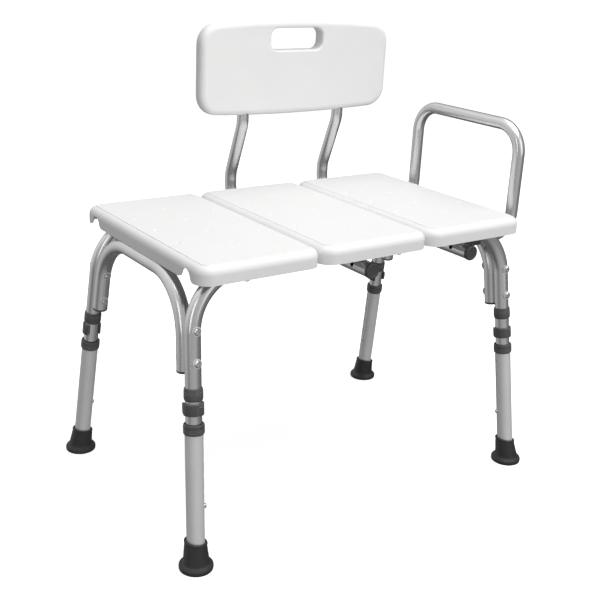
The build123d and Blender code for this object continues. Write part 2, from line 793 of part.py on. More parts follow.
with BuildPart() as armrest_tube:
    with BuildLine() as route:
        FilletPolyline(
            (arm_inner_end, -arm_y, arm_run_z), (arm_x, -arm_y, arm_run_z),
            (arm_x, -arm_y, arm_top_z), (arm_x, arm_y, arm_top_z),
            (arm_x, arm_y, arm_run_z), (arm_inner_end, arm_y, arm_run_z),
            radius=(arm_low_bend, arm_top_bend, arm_top_bend, arm_low_bend),
        )
    hollow_tube(route.line, post_r, post_bore)
    for face in (-1, 1):
        place = Vector(socket_screw_x, face * arm_y, arm_run_z)
        round_cut(Plane(origin=place, z_dir=(0, 0, -1)), button_r + button_fit, 2 * post_r)
finish(armrest_tube.part, "armrest_tube")

finish(snap_button(arm_button_look(-1)), "armrest_button_front")
finish(snap_button(arm_button_look(1)), "armrest_button_rear")
finish(spring_clip(arm_button_look(-1)), "armrest_spring_front")
finish(spring_clip(arm_button_look(1)), "armrest_spring_rear")
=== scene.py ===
"""Looks for the bath transfer bench.

The frame's tubes, panels and fasteners keep their own meshes and get their finishes here. The
pieces whose moulded form is richer than the frame's solids are modelled here: the rubber feet, the
collars and clips on the legs, and the plugs in the tube ends.

Metres, in the frame's axes: +X towards the armrest, -Y towards the front of the seat, +Z up.
"""

from __future__ import annotations

import json
import logging
from dataclasses import dataclass, field
from enum import Enum
from math import atan2, cos, degrees, pi, radians, sin
from typing import Callable, Iterable, Sequence

import bmesh
import bpy
from mathutils import Matrix, Vector


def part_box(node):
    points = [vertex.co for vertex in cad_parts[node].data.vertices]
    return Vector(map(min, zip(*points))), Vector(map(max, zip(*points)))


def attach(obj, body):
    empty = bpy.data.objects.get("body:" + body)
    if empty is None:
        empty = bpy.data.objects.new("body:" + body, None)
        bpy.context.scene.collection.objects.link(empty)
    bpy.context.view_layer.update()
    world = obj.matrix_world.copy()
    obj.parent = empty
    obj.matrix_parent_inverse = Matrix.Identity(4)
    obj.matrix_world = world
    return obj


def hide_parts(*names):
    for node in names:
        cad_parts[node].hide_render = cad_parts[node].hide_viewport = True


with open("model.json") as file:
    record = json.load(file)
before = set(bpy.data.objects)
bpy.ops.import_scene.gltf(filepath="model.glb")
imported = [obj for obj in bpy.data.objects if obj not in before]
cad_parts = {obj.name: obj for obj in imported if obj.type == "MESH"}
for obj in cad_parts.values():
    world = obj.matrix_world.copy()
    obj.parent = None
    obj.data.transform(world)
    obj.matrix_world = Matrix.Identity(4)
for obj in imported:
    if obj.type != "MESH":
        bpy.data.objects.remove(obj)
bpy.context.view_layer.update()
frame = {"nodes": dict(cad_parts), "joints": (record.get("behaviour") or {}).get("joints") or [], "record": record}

log = logging.getLogger("transfer_bench")
MM = 0.001
WELD = 0.004 * MM
ALMOST_NONE = 0.01 * MM
BUMP_DEPTH = 0.0004
NEAR_LEG = 30 * MM

UPRIGHT = Vector((0, 0, 1))
ALONG_BENCH = Vector((1, 0, 0))
WHITE = (1, 1, 1, 1)

Ring = tuple[float, float]


# ---- Where things stand ---------------------------------------------------------------------


class LegName(Enum):
    """The four legs, each with its side (-1 left, 1 right) and its face (-1 front, 1 back)."""

    FRONT_LEFT = ("front_left", -1, -1)
    FRONT_RIGHT = ("front_right", 1, -1)
    BACK_LEFT = ("back_left", -1, 1)
    BACK_RIGHT = ("back_right", 1, 1)

    @property
    def label(self) -> str:
        """The leg's name in node and body names."""
        return self.value[0]

    @property
    def side(self) -> int:
        """-1 on the left, 1 on the right."""
        return self.value[1]

    @property
    def face(self) -> int:
        """-1 at the front, 1 at the back."""
        return self.value[2]


@dataclass(frozen=True)
class LegLine:
    """A leg's centre line: the point where it meets the floor and the unit vector up it."""

    foot: Vector
    up: Vector

    @classmethod
    def of(cls, leg: LegName) -> "LegLine":
        """Read a leg's line from the frame.

        Args:
            leg: The leg.

        Returns:
            The line, from the foot's box and the axis of the leg's slide.
        """
        low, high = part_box(f"rubber_foot_{leg.label}")
        slide = next(j for j in frame["joints"] if j["name"] == f"leg_{leg.label}_slide")
        foot = Vector(((low.x + high.x) / 2, (low.y + high.y) / 2, 0.0))
        return cls(foot, -Vector(slide["axis"]).normalized())

    def placement(self, along: float, towards: Vector) -> Matrix:
        """Stand a piece on the line.

        Args:
            along: Distance up the line from the floor.
            towards: The way that the piece's own +X faces, as far as the line allows.

        Returns:
            The matrix that puts the piece's +Z on the line.
        """
        across = (towards - self.up * towards.dot(self.up)).normalized()
        turn = Matrix((across, self.up.cross(across), self.up)).transposed()
        return Matrix.Translation(self.foot + self.up * along) @ turn.to_4x4()


# ---- Modelling ------------------------------------------------------------------------------


class Workbench:
    """Starts, shapes and finishes one mesh piece at a time with Blender's own operators."""

    def __init__(self, name: str) -> None:
        """Clear the selection for a new piece.

        Args:
            name: The finished piece's name.
        """
        self.name = name
        bpy.ops.object.select_all(action="DESELECT")

    @property
    def piece(self) -> bpy.types.Object:
        """The piece on the bench."""
        return bpy.context.view_layer.objects.active

    def start_ring(self, radius: float, height: float, sides: int) -> None:
        """Add the first ring of a turned piece, and stay in edit mode with it selected.

        Args:
            radius: The ring's radius.
            height: Its height on the piece's own axis.
            sides: How many corners it has.
        """
        bpy.ops.mesh.primitive_circle_add(vertices=sides, radius=radius, fill_type="NOTHING")
        self.piece.name = self.name
        self.piece.data.name = self.name
        bpy.ops.object.mode_set(mode="EDIT")
        bpy.ops.mesh.select_all(action="SELECT")
        bpy.ops.transform.translate(value=(0, 0, height))

    def grow_ring(self, move: Vector, scale: float, centre: Vector) -> None:
        """Extrude the selected ring into the next one.

        Args:
            move: From the ring's centre to the next one's.
            scale: The next radius over this one.
            centre: The next ring's centre.
        """
        bpy.ops.mesh.extrude_edges_move(TRANSFORM_OT_translate={"value": move})
        bpy.ops.transform.resize(value=(scale, scale, scale), center_override=centre)

    def turn_rings(self, rings: Sequence[Ring], sides: int = 96, closed: bool = False) -> None:
        """Model a piece turned about its +Z from rings, and leave edit mode.

        Args:
            rings: (radius, height) of each ring in order. A radius of ALMOST_NONE makes a pole.
            sides: How many corners each ring has.
            closed: Whether the last ring joins the first, as on a collar.
        """
        path = list(rings) + ([rings[0]] if closed else [])
        self.start_ring(*path[0], sides)
        for (radius, height), (next_radius, next_height) in zip(path, path[1:]):
            centre = Vector((0, 0, next_height))
            self.grow_ring(Vector((0, 0, next_height - height)), next_radius / radius, centre)
        self.close_up()

    def close_up(self) -> None:
        """Merge what meets, turn all faces outwards, and leave edit mode."""
        bpy.ops.mesh.select_all(action="SELECT")
        bpy.ops.mesh.remove_doubles(threshold=WELD)
        bpy.ops.mesh.normals_make_consistent(inside=False)
        bpy.ops.object.mode_set(mode="OBJECT")

    def choose_faces(self, wanted: Callable[[bmesh.types.BMFace], bool]) -> None:
        """Select, in edit mode, just the faces that a test picks out.

        Args:
            wanted: Says whether a face is picked.
        """
        bpy.ops.mesh.select_mode(type="FACE")
        bpy.ops.mesh.select_all(action="DESELECT")
        shape = bmesh.from_edit_mesh(self.piece.data)
        for face in shape.faces:
            face.select_set(wanted(face))
        shape.select_flush_mode()
        bmesh.update_edit_mesh(self.piece.data)

    def soften(self, width: float, segments: int = 3, angle: float = 32.0) -> None:
        """Round the sharper edges with a bevel modifier that is applied.

        Args:
            width: The rounding's width.
            segments: How many pieces each rounding has.
            angle: Edges sharper than this, in degrees, are rounded.
        """
        bpy.ops.object.modifier_add(type="BEVEL")
        bevel = self.piece.modifiers[-1]
        bevel.width = width
        bevel.segments = segments
        bevel.limit_method = "ANGLE"
        bevel.angle_limit = radians(angle)
        bpy.ops.object.modifier_apply(modifier=bevel.name)

    def finish(self, placement: Matrix, smooth_below: float = 38.0) -> bpy.types.Object:
        """Put the piece in its place, with the place in its mesh, and smooth its shading.

        Args:
            placement: From the piece's own axes to the frame's.
            smooth_below: Edges flatter than this, in degrees, are shaded smooth.

        Returns:
            The finished piece.
        """
        piece = self.piece
        piece.matrix_world = placement
        bpy.ops.object.select_all(action="DESELECT")
        piece.select_set(True)
        bpy.ops.object.transform_apply(location=True, rotation=True, scale=True)
        bpy.ops.object.shade_smooth_by_angle(angle=radians(smooth_below))
        return piece


def fillet_rings(corners: Sequence[tuple[float, float, float]], steps: int = 5) -> list[Ring]:
    """Round the corners of a turned outline.

    Args:
        corners: (radius, height, rounding) of each corner; a rounding of 0 keeps it sharp.
        steps: How many pieces each rounding has.

    Returns:
        The outline's rings.
    """
    rings: list[Ring] = []
    count = len(corners)
    for index, (radius, height, rounding) in enumerate(corners):
        here = Vector((radius, height))
        if rounding == 0:
            rings.append((radius, height))
            continue
        before = Vector(corners[index - 1][:2]) - here
        after = Vector(corners[(index + 1) % count][:2]) - here
        start = here + before.normalized() * min(rounding, before.length * 0.45)
        end = here + after.normalized() * min(rounding, after.length * 0.45)
        for step in range(steps + 1):
            t = step / steps
            point = start * (1 - t) ** 2 + here * 2 * t * (1 - t) + end * t**2
            rings.append((point.x, point.y))
    return rings


# ---- Shader groups --------------------------------------------------------------------------


@dataclass
class Wiring:
    """Adds and joins the nodes of one shader tree."""

    tree: bpy.types.NodeTree
    column: int = 0

    def add(self, kind: str, **values: object) -> bpy.types.Node:
        """Add a node.

        Args:
            kind: The node's Blender type.
            values: Properties of the node, or inputs named with capitals and underscores.

        Returns:
            The node.
        """
        node = self.tree.nodes.new(kind)
        self.column += 1
        node.location = (self.column * 190, 0)
        for key, value in values.items():
            if key[0].isupper():
                node.inputs[key.replace("_", " ")].default_value = value
            else:
                setattr(node, key, value)
        return node

    def join(self, source: bpy.types.NodeSocket, target: bpy.types.NodeSocket) -> None:
        """Link an output to an input."""
        self.tree.links.new(source, target)

    def arithmetic(self, operation: str, *terms: object) -> bpy.types.NodeSocket:
        """Combine numbers and outputs with one Math node.

        Args:
            operation: The Math node's operation.
            terms: Its inputs in order, each a number or an output.

        Returns:
            The result's socket.
        """
        node = self.add("ShaderNodeMath", operation=operation)
        for socket, term in zip(node.inputs, terms):
            if isinstance(term, (int, float)):
                socket.default_value = term
            else:
                self.join(term, socket)
        return node.outputs[0]

    def spread(self, value: bpy.types.NodeSocket, low: float, high: float,
               to_low: float, to_high: float) -> bpy.types.NodeSocket:
        """Map a value's range onto another, clamped.

        Args:
            value: The value.
            low: The value that gives to_low.
            high: The value that gives to_high.
            to_low: The first end of the result.
            to_high: The other end of the result.

        Returns:
            The result's socket.
        """
        node = self.add("ShaderNodeMapRange")
        self.join(value, node.inputs["Value"])
        for name, number in (("From Min", low), ("From Max", high),
                             ("To Min", to_low), ("To Max", to_high)):
            node.inputs[name].default_value = number
        return node.outputs["Result"]

    def blend(
        self, mask: bpy.types.NodeSocket, first: object, second: object
    ) -> bpy.types.NodeSocket:
        """Mix two colours, each a colour or an output, by a mask.

        Args:
            mask: 0 gives the first colour, 1 the second.
            first: The first colour.
            second: The second colour.

        Returns:
            The mixed colour's socket.
        """
        node = self.add("ShaderNodeMix", data_type="RGBA")
        self.join(mask, node.inputs[0])
        for socket, colour in ((node.inputs[6], first), (node.inputs[7], second)):
            if isinstance(colour, bpy.types.NodeSocket):
                self.join(colour, socket)
            else:
                socket.default_value = (*colour, 1.0)
        return node.outputs[2]


class SharedEffects:
    """The shader groups that several finishes use, each built once."""

    def __init__(self) -> None:
        """Build every group."""
        self.pebble = self._pebble()
        self.grain = self._grain()
        # A mask for the painted highlight along sharp edges.
        self.edges = self._edges()
        self.dust = self._dust()

    @staticmethod
    def _new(name: str, inputs: Iterable[tuple[str, str, float]],
             outputs: Iterable[str]) -> tuple[bpy.types.NodeTree, Wiring, bpy.types.Node,
                                              bpy.types.Node]:
        """Start a group.

        Args:
            name: The group's name.
            inputs: Name, socket type and first value of each input; a vector's value is unused.
            outputs: Names of its outputs, all numbers.

        Returns:
            The group, its wiring, and its input and output nodes.
        """
        tree = bpy.data.node_groups.new(name, "ShaderNodeTree")
        for label, kind, value in inputs:
            socket = tree.interface.new_socket(name=label, in_out="INPUT", socket_type=kind)
            if kind == "NodeSocketFloat":
                socket.default_value = value
        for label in outputs:
            tree.interface.new_socket(name=label, in_out="OUTPUT", socket_type="NodeSocketFloat")
        wiring = Wiring(tree)
        return tree, wiring, wiring.add("NodeGroupInput"), wiring.add("NodeGroupOutput")

    @staticmethod
    def _scale(
        wiring: Wiring, given: bpy.types.Node, share: float, texture: bpy.types.Node
    ) -> None:
        """Run a texture at a share of its group's scale."""
        scale = wiring.arithmetic("MULTIPLY", given.outputs["Scale"], share)
        wiring.join(scale, texture.inputs["Scale"])

    def _pebble(self) -> bpy.types.NodeTree:
        """The fine spark-eroded texture of moulded plastic and rubber, and its slow mottle."""
        tree, wiring, given, out = self._new(
            "moulded_pebble",
            (("Vector", "NodeSocketVector", 0), ("Scale", "NodeSocketFloat", 900.0)),
            ("Height", "Mottle"),
        )
        cells = wiring.add("ShaderNodeTexVoronoi", feature="SMOOTH_F1", Smoothness=0.6)
        haze = wiring.add("ShaderNodeTexNoise", Detail=3.0, Roughness=0.55)
        slow = wiring.add("ShaderNodeTexNoise", Detail=2.0, Roughness=0.5)
        for node in (cells, haze, slow):
            wiring.join(given.outputs["Vector"], node.inputs["Vector"])
        wiring.join(given.outputs["Scale"], cells.inputs["Scale"])
        self._scale(wiring, given, 0.4, haze)
        self._scale(wiring, given, 0.012, slow)
        sunk = wiring.arithmetic("MULTIPLY", cells.outputs["Distance"], 0.6)
        wiring.join(wiring.arithmetic("ADD", sunk, haze.outputs["Fac"]), out.inputs["Height"])
        wiring.join(wiring.spread(slow.outputs["Fac"], 0.3, 0.7, 0.0, 1.0), out.inputs["Mottle"])
        return tree

    def _grain(self) -> bpy.types.NodeTree:
        """The soft cloudiness and fine matt grain of satin metal, and rare handling marks."""
        tree, wiring, given, out = self._new(
            "satin_grain",
            (("Vector", "NodeSocketVector", 0), ("Scale", "NodeSocketFloat", 1400.0)),
            ("Height", "Cloud", "Scuffs"),
        )
        fine = wiring.add("ShaderNodeTexNoise", Detail=2.0, Roughness=0.6)
        cloud = wiring.add("ShaderNodeTexNoise", Detail=3.0, Roughness=0.6)
        scuffs = wiring.add("ShaderNodeTexNoise", Detail=5.0, Roughness=0.7, Distortion=1.2)
        for node in (fine, cloud, scuffs):
            wiring.join(given.outputs["Vector"], node.inputs["Vector"])
        wiring.join(given.outputs["Scale"], fine.inputs["Scale"])
        self._scale(wiring, given, 0.018, cloud)
        self._scale(wiring, given, 0.05, scuffs)
        clouded = wiring.spread(cloud.outputs["Fac"], 0.3, 0.7, 0.0, 1.0)
        scuffed = wiring.spread(scuffs.outputs["Fac"], 0.62, 0.78, 0.0, 1.0)
        wiring.join(fine.outputs["Fac"], out.inputs["Height"])
        wiring.join(clouded, out.inputs["Cloud"])
        wiring.join(scuffed, out.inputs["Scuffs"])
        return tree

    def _edges(self) -> bpy.types.NodeTree:
        """A broken mask along sharp edges, where a lighter colour is painted on as a highlight."""
        tree, wiring, given, out = self._new(
            "painted_edge_highlight",
            (("Vector", "NodeSocketVector", 0), ("Radius", "NodeSocketFloat", 0.0008)),
            ("Mask",),
        )
        rounded = wiring.add("ShaderNodeBevel", samples=4)
        wiring.join(given.outputs["Radius"], rounded.inputs["Radius"])
        surface = wiring.add("ShaderNodeNewGeometry")
        likeness = wiring.add("ShaderNodeVectorMath", operation="DOT_PRODUCT")
        wiring.join(rounded.outputs["Normal"], likeness.inputs[0])
        wiring.join(surface.outputs["Normal"], likeness.inputs[1])
        bend = wiring.spread(likeness.outputs["Value"], 0.995, 0.86, 0.0, 1.0)
        patchy = wiring.add("ShaderNodeTexNoise", Scale=160.0, Detail=3.0)
        wiring.join(given.outputs["Vector"], patchy.inputs["Vector"])
        broken = wiring.spread(patchy.outputs["Fac"], 0.35, 0.6, 0.35, 1.0)
        wiring.join(wiring.arithmetic("MULTIPLY", bend, broken), out.inputs["Mask"])
        return tree

    def _dust(self) -> bpy.types.NodeTree:
        """A thin film on surfaces that face up."""
        tree, wiring, given, out = self._new(
            "settled_dust", (("Vector", "NodeSocketVector", 0),), ("Mask",),
        )
        surface = wiring.add("ShaderNodeNewGeometry")
        parts = wiring.add("ShaderNodeSeparateXYZ")
        wiring.join(surface.outputs["Normal"], parts.inputs[0])
        upward = wiring.spread(parts.outputs["Z"], 0.35, 0.95, 0.0, 1.0)
        patchy = wiring.add("ShaderNodeTexNoise", Scale=220.0, Detail=4.0)
        wiring.join(given.outputs["Vector"], patchy.inputs["Vector"])
        broken = wiring.spread(patchy.outputs["Fac"], 0.3, 0.7, 0.2, 1.0)
        wiring.join(wiring.arithmetic("MULTIPLY", upward, broken), out.inputs["Mask"])
        return tree


# ---- Finishes -------------------------------------------------------------------------------


@dataclass(frozen=True)
class Finish:
    """What every finish has: a name, a colour, its second colour, and a roughness range."""

    name: str
    colour: tuple[float, float, float]
    second: tuple[float, float, float]
    roughness: tuple[float, float]
    bump: float = 0.1
    scale: float = 900.0

    def _open(self) -> tuple[bpy.types.Material, Wiring, bpy.types.Node, bpy.types.NodeSocket]:
        """Start the material.

        Returns:
            The material, its wiring, its Principled node, and the object coordinates' socket.
        """
        material = bpy.data.materials.new(self.name)
        material.use_nodes = True
        wiring = Wiring(material.node_tree)
        shader = material.node_tree.nodes["Principled BSDF"]
        place = wiring.add("ShaderNodeTexCoord").outputs["Object"]
        return material, wiring, shader, place

    def _group(self, wiring: Wiring, tree: bpy.types.NodeTree, place: bpy.types.NodeSocket,
               **values: float) -> bpy.types.Node:
        """Place a shared group in the material.

        Args:
            wiring: The material's wiring.
            tree: The group.
            place: The coordinates that it reads.
            values: Its number inputs.

        Returns:
            The group's node.
        """
        node = wiring.add("ShaderNodeGroup", node_tree=tree)
        wiring.join(place, node.inputs["Vector"])
        for key, value in values.items():
            node.inputs[key].default_value = value
        return node

    def _bump(
        self, wiring: Wiring, shader: bpy.types.Node, height: bpy.types.NodeSocket
    ) -> None:
        """Give the surface its fine relief."""
        node = wiring.add("ShaderNodeBump", Strength=self.bump, Distance=BUMP_DEPTH)
        wiring.join(height, node.inputs["Height"])
        wiring.join(node.outputs["Normal"], shader.inputs["Normal"])

    def make(self, effects: SharedEffects) -> bpy.types.Material:
        """Build the material. Each kind of finish has its own way."""
        raise NotImplementedError


@dataclass(frozen=True)
class MouldedFinish(Finish):
    """Moulded plastic or rubber: a pebbled skin, a faint mottle, a painted highlight along the edges and a little
    dust.
    """

    # The edge colour, radius and share set the painted highlight that lightens sharp edges.
    edge_colour: tuple[float, float, float] = (0.8, 0.8, 0.8)
    edge_radius: float = 0.0008
    edge_share: float = 0.5
    dust_colour: tuple[float, float, float] = (0.5, 0.5, 0.49)
    dust_share: float = 0.1
    specular: float = 0.5

    def make(self, effects: SharedEffects) -> bpy.types.Material:
        """Build the material.

        Args:
            effects: The shared groups.

        Returns:
            The material.
        """
        material, wiring, shader, place = self._open()
        pebble = self._group(wiring, effects.pebble, place, Scale=self.scale)
        edges = self._group(wiring, effects.edges, place, Radius=self.edge_radius)
        dust = self._group(wiring, effects.dust, place)
        mottled = wiring.blend(pebble.outputs["Mottle"], self.colour, self.second)
        # Sharp edges are painted lighter here, as a highlight, not as wear.
        highlight_amount = wiring.arithmetic("MULTIPLY", edges.outputs["Mask"], self.edge_share)
        highlit = wiring.blend(highlight_amount, mottled, self.edge_colour)
        film = wiring.arithmetic("MULTIPLY", dust.outputs["Mask"], self.dust_share)
        dusty = wiring.blend(film, highlit, self.dust_colour)
        wiring.join(dusty, shader.inputs["Base Color"])
        rough = wiring.spread(pebble.outputs["Mottle"], 0.0, 1.0, *self.roughness)
        wiring.join(wiring.arithmetic("ADD", rough, film), shader.inputs["Roughness"])
        shader.inputs["Specular IOR Level"].default_value = self.specular
        self._bump(wiring, shader, pebble.outputs["Height"])
        return material


@dataclass(frozen=True)
class MetalFinish(Finish):
    """Satin or plated metal: fine grain, cloudy roughness, and rare handling marks."""

    scuff_share: float = 0.15
    metallic: float = 1.0

    def make(self, effects: SharedEffects) -> bpy.types.Material:
        """Build the material.

        Args:
            effects: The shared groups.

        Returns:
            The material.
        """
        material, wiring, shader, place = self._open()
        grain = self._group(wiring, effects.grain, place, Scale=self.scale)
        shader.inputs["Metallic"].default_value = self.metallic
        tint = wiring.blend(grain.outputs["Cloud"], self.colour, self.second)
        wiring.join(tint, shader.inputs["Base Color"])
        rough = wiring.spread(grain.outputs["Cloud"], 0.0, 1.0, *self.roughness)
        marks = wiring.arithmetic("MULTIPLY", grain.outputs["Scuffs"], self.scuff_share)
        wiring.join(wiring.arithmetic("ADD", rough, marks), shader.inputs["Roughness"])
        self._bump(wiring, shader, grain.outputs["Height"])
        return material


# Each moulded finish's edge colour is a painted highlight along its edges; on the dark collars and the rubber it
# is far lighter than the body.
FINISHES: dict[str, Finish] = {
    "white_plastic": MouldedFinish(
        "white_moulded_plastic", (0.80, 0.80, 0.795), (0.775, 0.778, 0.775), (0.40, 0.50),
        bump=0.16, scale=1100.0, edge_colour=(0.83, 0.83, 0.825), edge_radius=0.0015, edge_share=0.5,
        dust_colour=(0.78, 0.775, 0.76), dust_share=0.06,
    ),
    "frame_tube": MetalFinish(
        "satin_frame_aluminium", (0.68, 0.68, 0.69), (0.65, 0.65, 0.66), (0.24, 0.28), bump=0.04,
        scale=1500.0, scuff_share=0.04,
    ),
    "leg_tube": MetalFinish(
        "bright_leg_aluminium", (0.72, 0.72, 0.725), (0.68, 0.68, 0.69), (0.42, 0.50), bump=0.07,
        scale=1500.0, scuff_share=0.10, metallic=0.4,
    ),
    "grey_plastic": MouldedFinish(
        "grey_collar_plastic", (0.060, 0.060, 0.063), (0.080, 0.080, 0.084), (0.34, 0.44),
        bump=0.10, scale=1300.0, edge_colour=(0.34, 0.34, 0.345), edge_radius=0.0010, edge_share=0.8,
        dust_colour=(0.32, 0.32, 0.31), dust_share=0.12,
    ),
    "dark_plastic": MouldedFinish(
        "dark_plug_plastic", (0.045, 0.045, 0.048), (0.06, 0.06, 0.063), (0.38, 0.48), bump=0.12,
        scale=1300.0, edge_colour=(0.13, 0.13, 0.135), edge_radius=0.0007, edge_share=0.5,
        dust_colour=(0.2, 0.2, 0.195), dust_share=0.12,
    ),
    "foot_rubber": MouldedFinish(
        "foot_rubber", (0.014, 0.014, 0.015), (0.022, 0.022, 0.023), (0.44, 0.56), bump=0.22,
        scale=1000.0, edge_colour=(0.10, 0.10, 0.102), edge_radius=0.0008, edge_share=0.7,
        dust_colour=(0.12, 0.118, 0.112), dust_share=0.12, specular=0.55,
    ),
    "light_nylon": MouldedFinish(
        "light_washer_nylon", (0.66, 0.66, 0.665), (0.60, 0.60, 0.605), (0.34, 0.44), bump=0.08,
        scale=1300.0, edge_colour=(0.78, 0.78, 0.78), edge_radius=0.0006, edge_share=0.5,
        dust_colour=(0.6, 0.6, 0.59), dust_share=0.08,
    ),
    "zinc_steel": MetalFinish(
        "zinc_plated_steel", (0.66, 0.665, 0.68), (0.56, 0.565, 0.58), (0.22, 0.32), bump=0.05,
        scale=900.0, scuff_share=0.25,
    ),
    "button_steel": MetalFinish(
        "polished_button_steel", (0.66, 0.66, 0.67), (0.60, 0.60, 0.61), (0.14, 0.22), bump=0.02,
        scale=1200.0, scuff_share=0.15,
    ),
    "spring_steel": MetalFinish(
        "plain_spring_steel", (0.42, 0.42, 0.43), (0.34, 0.335, 0.33), (0.28, 0.40), bump=0.05,
        scale=900.0, scuff_share=0.3,
    ),
}


class Finishes:
    """The materials, one for each of the record's slots, and what wears them."""

    def __init__(self) -> None:
        """Build the shared groups and every material."""
        effects = SharedEffects()
        self.materials = {slot: finish.make(effects) for slot, finish in FINISHES.items()}

    def dress_nodes(self) -> None:
        """Give every node of the frame the finish of its slot."""
        for part in frame["record"]["subparts"]:
            node = frame["nodes"][part["node"]]
            for holder in node.material_slots:
                holder.material = self.materials[part["material_slot"]]

    def dress(self, piece: bpy.types.Object, slot: str) -> None:
        """Give a new piece the finish of one of the record's slots.

        Args:
            piece: The piece.
            slot: The record's slot.
        """
        piece.data.materials.clear()
        piece.data.materials.append(self.materials[slot])


# ---- Moulded fittings -----------------------------------------------------------------------


@dataclass
class Fitting:
    """A piece modelled here that stands for one node of the frame and rides on its body."""

    finishes: Finishes

    def settle(self, piece: bpy.types.Object, slot: str, body: str, node: str) -> None:
        """Dress a finished piece, hang it on its body and hide the node that it stands for.

        Args:
            piece: The piece.
            slot: The record's material slot.
            body: The body that carries it.
            node: The node that it stands for.
        """
        self.finishes.dress(piece, slot)
        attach(piece, body)
        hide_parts(node)
        log.info("%s: %d faces, rides on %s", piece.name, len(piece.data.polygons), body)


@dataclass
class RubberFeet(Fitting):
    """Rubber tips: a thick flange with a raised line, a conical neck and a rim round the tube."""

    sole_radius: float = 27.4 * MM
    sole_height: float = 11.5 * MM
    waist_radius: float = 20.7 * MM
    cup_radius: float = 18.2 * MM
    cup_top: float = 44.8 * MM
    rim_height: float = 5.0 * MM
    tube_radius: float = 14.35 * MM
    socket_floor: float = 14.0 * MM
    groove_radii: tuple[float, ...] = (9 * MM, 16 * MM, 22 * MM)
    groove_half: float = 1.2 * MM
    groove_depth: float = 1.6 * MM
    lean_share: float = 0.75
    sides: int = 96

    def outline(self) -> list[Ring]:
        """The rings from the middle of the sole, up the outside and down inside the cup."""
        tread = [(ALMOST_NONE, 0.0)]
        half, deep = self.groove_half, self.groove_depth
        for groove in self.groove_radii:
            tread += [(groove - half, 0.0), (groove - 0.7 * half, deep),
                      (groove + 0.7 * half, deep), (groove + half, 0.0)]
        top, sole = self.cup_top, self.sole_height
        skin = [
            (self.sole_radius - 0.6 * MM, 0.0, 0.8 * MM),
            (self.sole_radius, 3.2 * MM, 1.2 * MM),
            (self.sole_radius - 0.2 * MM, sole - 4.6 * MM, 1.8 * MM),
            (self.sole_radius - 2.2 * MM, sole - 2.4 * MM, 0.8 * MM),
            (self.sole_radius - 2.9 * MM, sole - 3.3 * MM, 0.3 * MM),
            (self.sole_radius - 3.6 * MM, sole - 1.9 * MM, 0.4 * MM),
            (self.sole_radius - 4.4 * MM, sole - 1.8 * MM, 0.3 * MM),
            (self.waist_radius + 0.9 * MM, sole - 0.7 * MM, 1.0 * MM),
            (self.waist_radius, sole + 1.8 * MM, 1.2 * MM),
            (self.cup_radius, top - self.rim_height - 1.4 * MM, 2.0 * MM),
            (self.cup_radius - 0.5 * MM, top - self.rim_height, 0.4 * MM),
            (self.cup_radius - 0.5 * MM, top - self.rim_height + 0.7 * MM, 0.4 * MM),
            (self.cup_radius + 0.5 * MM, top - self.rim_height + 1.3 * MM, 0.8 * MM),
            (self.cup_radius + 0.4 * MM, top - 1.2 * MM, 1.2 * MM),
            (self.cup_radius - 1.2 * MM, top, 1.0 * MM),
            (self.tube_radius + 0.6 * MM, top - 0.2 * MM, 0.6 * MM),
            (self.tube_radius, top - 1.4 * MM, 0.6 * MM),
            (self.tube_radius, self.socket_floor + 0.4 * MM, 0.0),
            (ALMOST_NONE, self.socket_floor + 0.4 * MM, 0.0),
        ]
        return tread + fillet_rings(skin)

    def _lean(self, height: float) -> float:
        """Share of the leg's lean that a ring at this height has taken up."""
        span = self.cup_top - self.sole_height
        return min(1.0, max(0.0, (height - self.sole_height) / (self.lean_share * span)))

    def _centre(self, height: float, line: LegLine) -> Vector:
        """Centre of the ring at this height: upright at the sole, on the leg's line above it."""
        share = self._lean(height)
        return line.up * (height / line.up.z) * share + UPRIGHT * height * (1 - share)

    def make(self, leg: LegName) -> bpy.types.Object:
        """Model one foot: level at the floor, and leaning into the leg's line above the flange.

        Args:
            leg: The leg that it is on.

        Returns:
            The foot.
        """
        line = LegLine.of(leg)
        bench = Workbench(f"foot_{leg.label}")
        rings = self.outline()
        tilt_axis = UPRIGHT.cross(line.up).normalized()
        tilt = UPRIGHT.angle(line.up)
        bench.start_ring(*rings[0], self.sides)
        for (radius, height), (next_radius, next_height) in zip(rings, rings[1:]):
            there = self._centre(next_height, line)
            move = there - self._centre(height, line)
            bench.grow_ring(move, next_radius / radius, there)
            turn = tilt * (self._lean(next_height) - self._lean(height))
            if abs(turn) > 1e-7:
                self._tip(turn, tilt_axis, there)
        bench.close_up()
        foot = bench.finish(Matrix.Translation(line.foot))
        self.settle(foot, "foot_rubber", f"leg_{leg.label}", f"rubber_foot_{leg.label}")
        return foot

    @staticmethod
    def _tip(angle: float, axis: Vector, centre: Vector) -> None:
        """Tip the selected ring about a level axis.

        Args:
            angle: How far.
            axis: The axis's direction.
            centre: The ring's centre, which the axis passes through.
        """
        axes = Matrix((axis.cross(UPRIGHT), axis, UPRIGHT)).transposed()
        bpy.ops.transform.rotate(
            value=-angle, orient_axis="Y", orient_type="GLOBAL", orient_matrix=axes,
            orient_matrix_type="GLOBAL", center_override=centre,
        )


